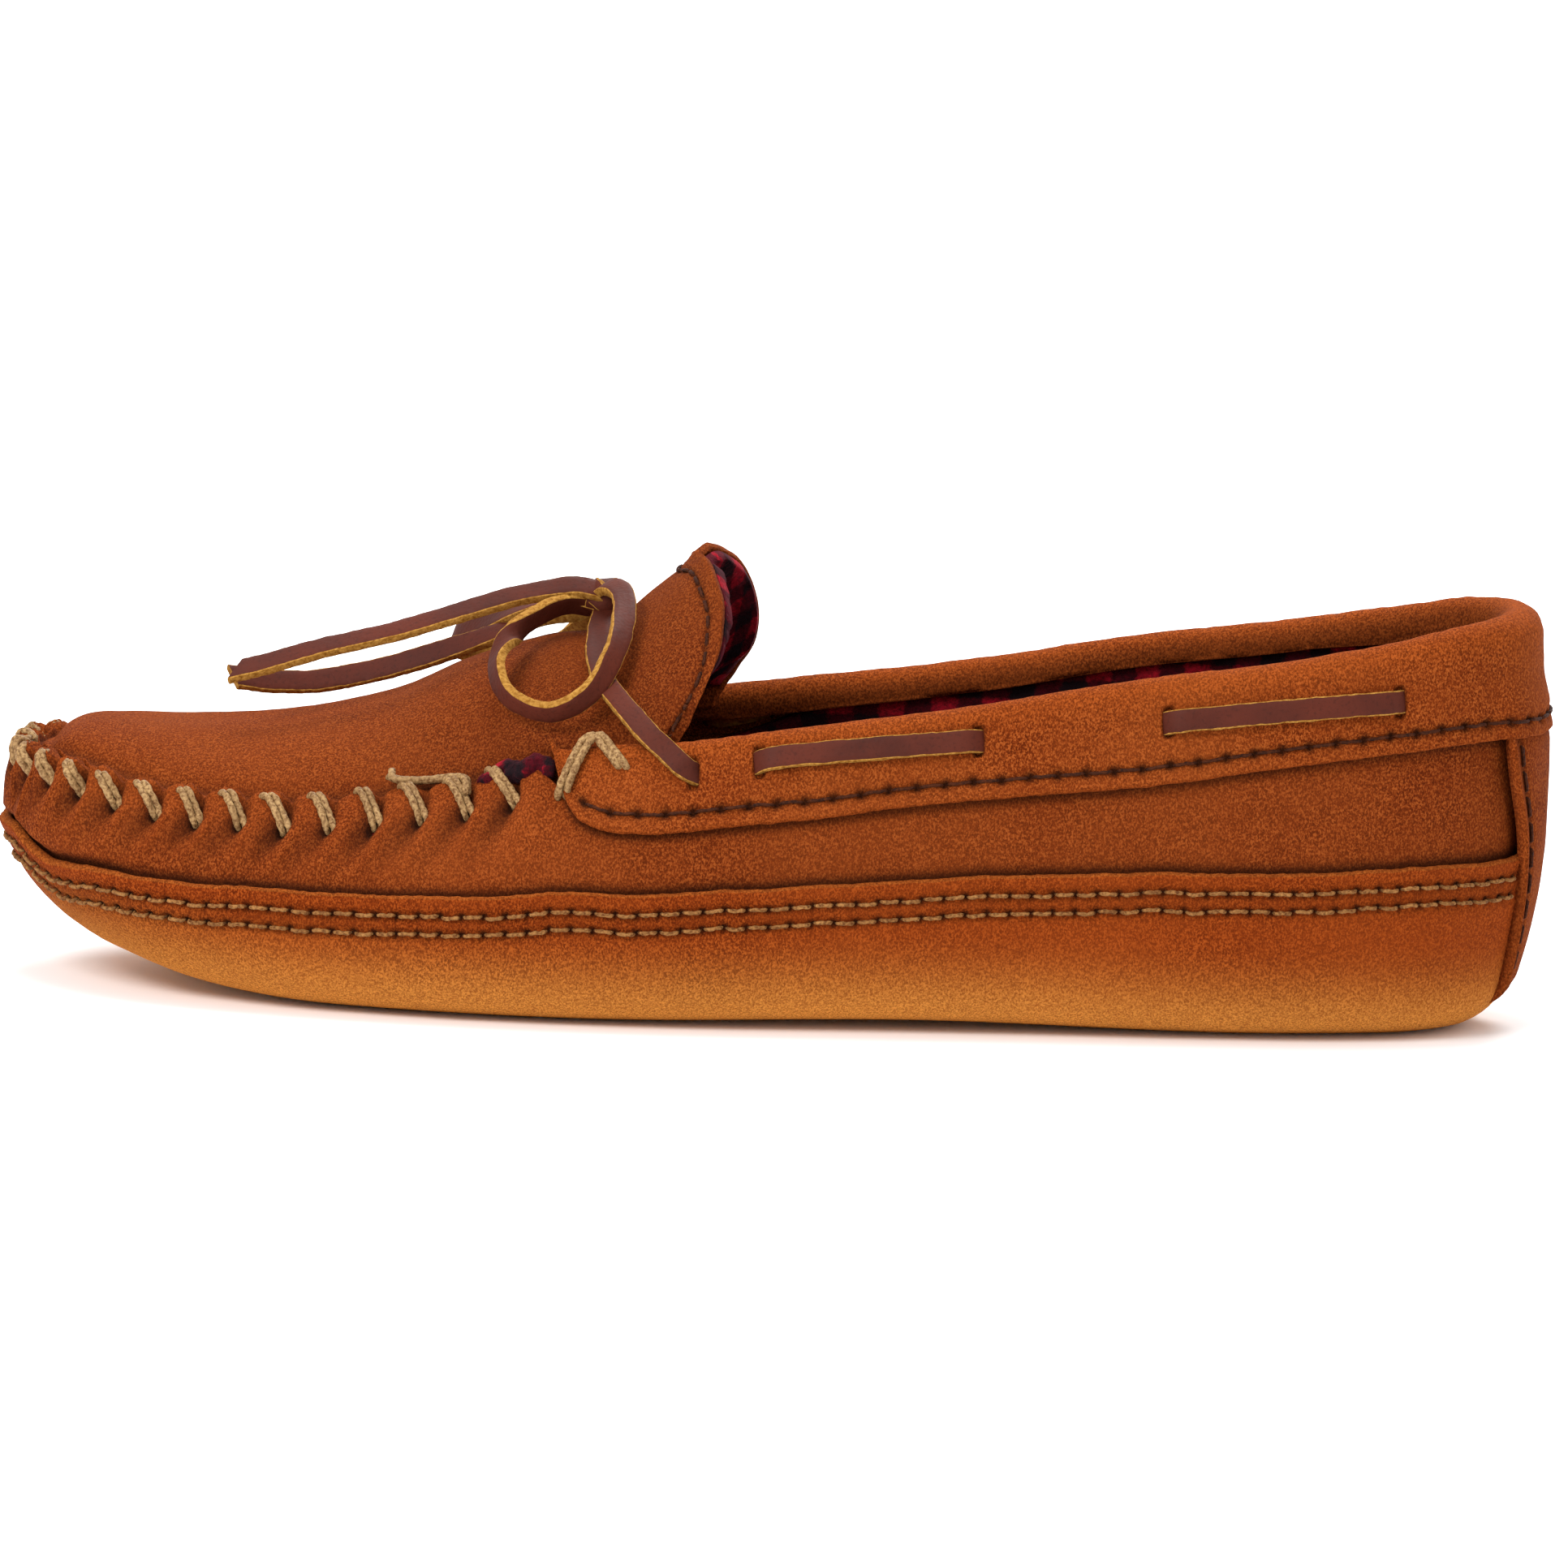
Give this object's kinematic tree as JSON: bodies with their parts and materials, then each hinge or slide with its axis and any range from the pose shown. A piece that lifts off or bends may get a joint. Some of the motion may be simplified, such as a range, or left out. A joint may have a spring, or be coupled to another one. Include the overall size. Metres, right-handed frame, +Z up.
{
  "type": "moccasin",
  "caption": "Soft suede slipper moccasin with a whip-stitched puckered toe, laced rolled collar, lined tongue and a wrap-up suede sole.",
  "frame": {"origin": "middle of the object's box on the ground, under the sole", "axes": "+X towards the heel along the shoe, +Y towards the inner side of the foot, +Z up"},
  "size_m": [0.2818, 0.1044, 0.0832],
  "materials": {
    "suede": "napped",
    "sole_suede": "napped",
    "fleece": "brushed check",
    "foam": "matte",
    "lace_leather": "smooth",
    "waxed_thread": "waxed",
    "sole_thread": "twisted",
    "dark_thread": "matte"
  },
  "bodies": {
    "shoe": {"outer_sole": "sole_suede", "midsole_pad": "foam", "moccasin_body": "suede", "wall_lining": "fleece", "insole": "fleece", "plug": "suede", "plug_lining": "fleece", "collar": "suede", "collar_stitching": "dark_thread", "heel_strap": "suede", "heel_strap_stitching_outer_side": "dark_thread", "heel_strap_stitching_inner_side": "dark_thread", "sole_stitching_upper": "sole_thread", "sole_stitching_lower": "sole_thread", "toe_whip_stitching": "waxed_thread", "lace": "lace_leather", "bow_knot": "lace_leather"},
    "tongue": {"tongue": "suede", "tongue_lining": "fleece", "tongue_stitching": "dark_thread"},
    "near_bow_loop": {"near_bow_loop": "lace_leather"},
    "far_bow_loop": {"far_bow_loop": "lace_leather"},
    "near_bow_tail": {"near_bow_tail": "lace_leather"},
    "far_bow_tail": {"far_bow_tail": "lace_leather"}
  },
  "joints": [
    {"name": "tongue_fold", "type": "hinge", "parent": "shoe", "child": "tongue", "pos_m": [-0.02917, 0.00001, 0.069], "axis": [0, -1, 0], "range_deg": [-12, 28], "stiffness_Nm_per_rad": 0.02},
    {"name": "near_bow_loop_swing", "type": "hinge", "parent": "shoe", "child": "near_bow_loop", "pos_m": [-0.03617, -0.00499, 0.0715], "axis": [-1, 0, 0], "range_deg": [0, 25], "stiffness_Nm_per_rad": 0.005},
    {"name": "far_bow_loop_swing", "type": "hinge", "parent": "shoe", "child": "far_bow_loop", "pos_m": [-0.03717, 0.00501, 0.0705], "axis": [1, 0, 0], "range_deg": [0, 25], "stiffness_Nm_per_rad": 0.005},
    {"name": "near_bow_tail_lift", "type": "hinge", "parent": "shoe", "child": "near_bow_tail", "pos_m": [-0.04117, -0.00149, 0.074], "axis": [0, 1, 0], "range_deg": [-3, 35], "stiffness_Nm_per_rad": 0.005},
    {"name": "far_bow_tail_swing", "type": "hinge", "parent": "shoe", "child": "far_bow_tail", "pos_m": [-0.04117, 0.00401, 0.068], "axis": [0, 0, 1], "range_deg": [-10, 8], "stiffness_Nm_per_rad": 0.005}
  ]
}
